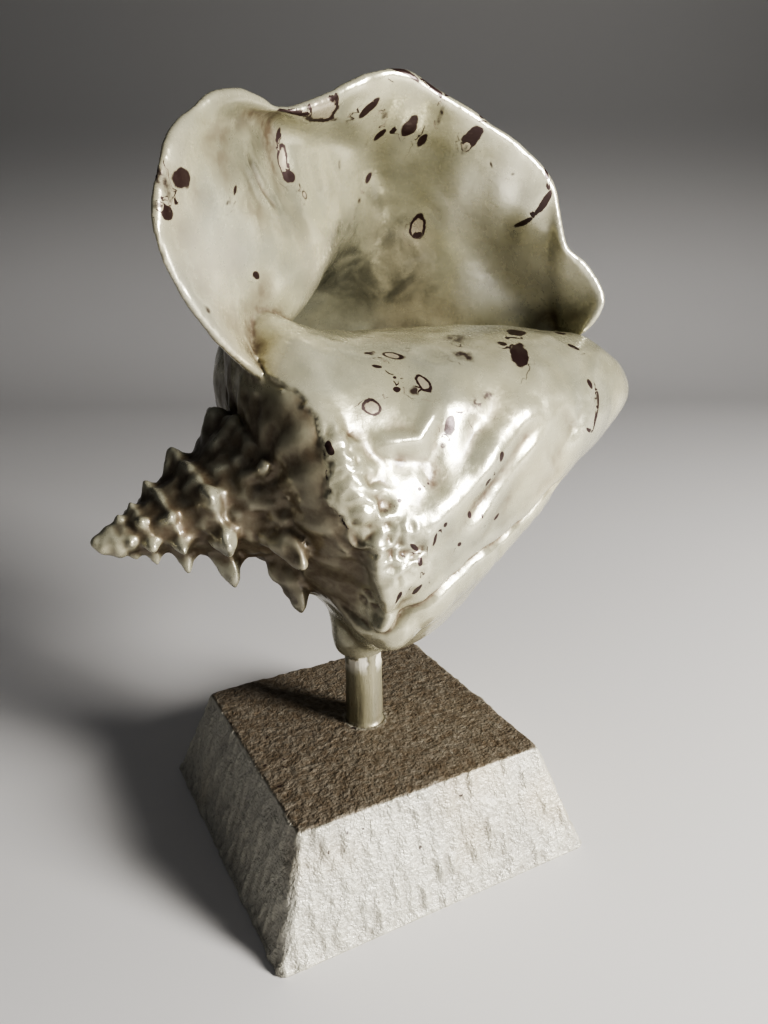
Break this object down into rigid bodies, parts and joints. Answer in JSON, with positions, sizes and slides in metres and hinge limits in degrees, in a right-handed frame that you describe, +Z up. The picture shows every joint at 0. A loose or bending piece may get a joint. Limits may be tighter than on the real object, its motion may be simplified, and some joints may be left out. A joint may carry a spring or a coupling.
{
  "type": "conch shell",
  "caption": "Pearl-painted queen conch with a flaring lip and a spined spire, held up by a plain round post on a tapered square plinth.",
  "frame": {"origin": "centre of the plinth's flat underside, on the surface it stands on", "axes": "+Z up along the post; the plinth's sides are square to X and Y; the open side of the shell faces -Y; the spire points to -X and the canal to +X"},
  "size_m": [0.2258, 0.1592, 0.2851],
  "materials": {
    "shell_pearl": "pearly champagne paint, polished, with brown antiquing in the hollows and dark flecks",
    "post_pearl": "brushed champagne paint, chipped at the top",
    "plinth_pearl": "rough hammered pearl paint with small dark pits"
  },
  "bodies": {
    "root": {"shell": "shell_pearl", "post": "post_pearl", "base": "plinth_pearl"}
  },
  "joints": []
}
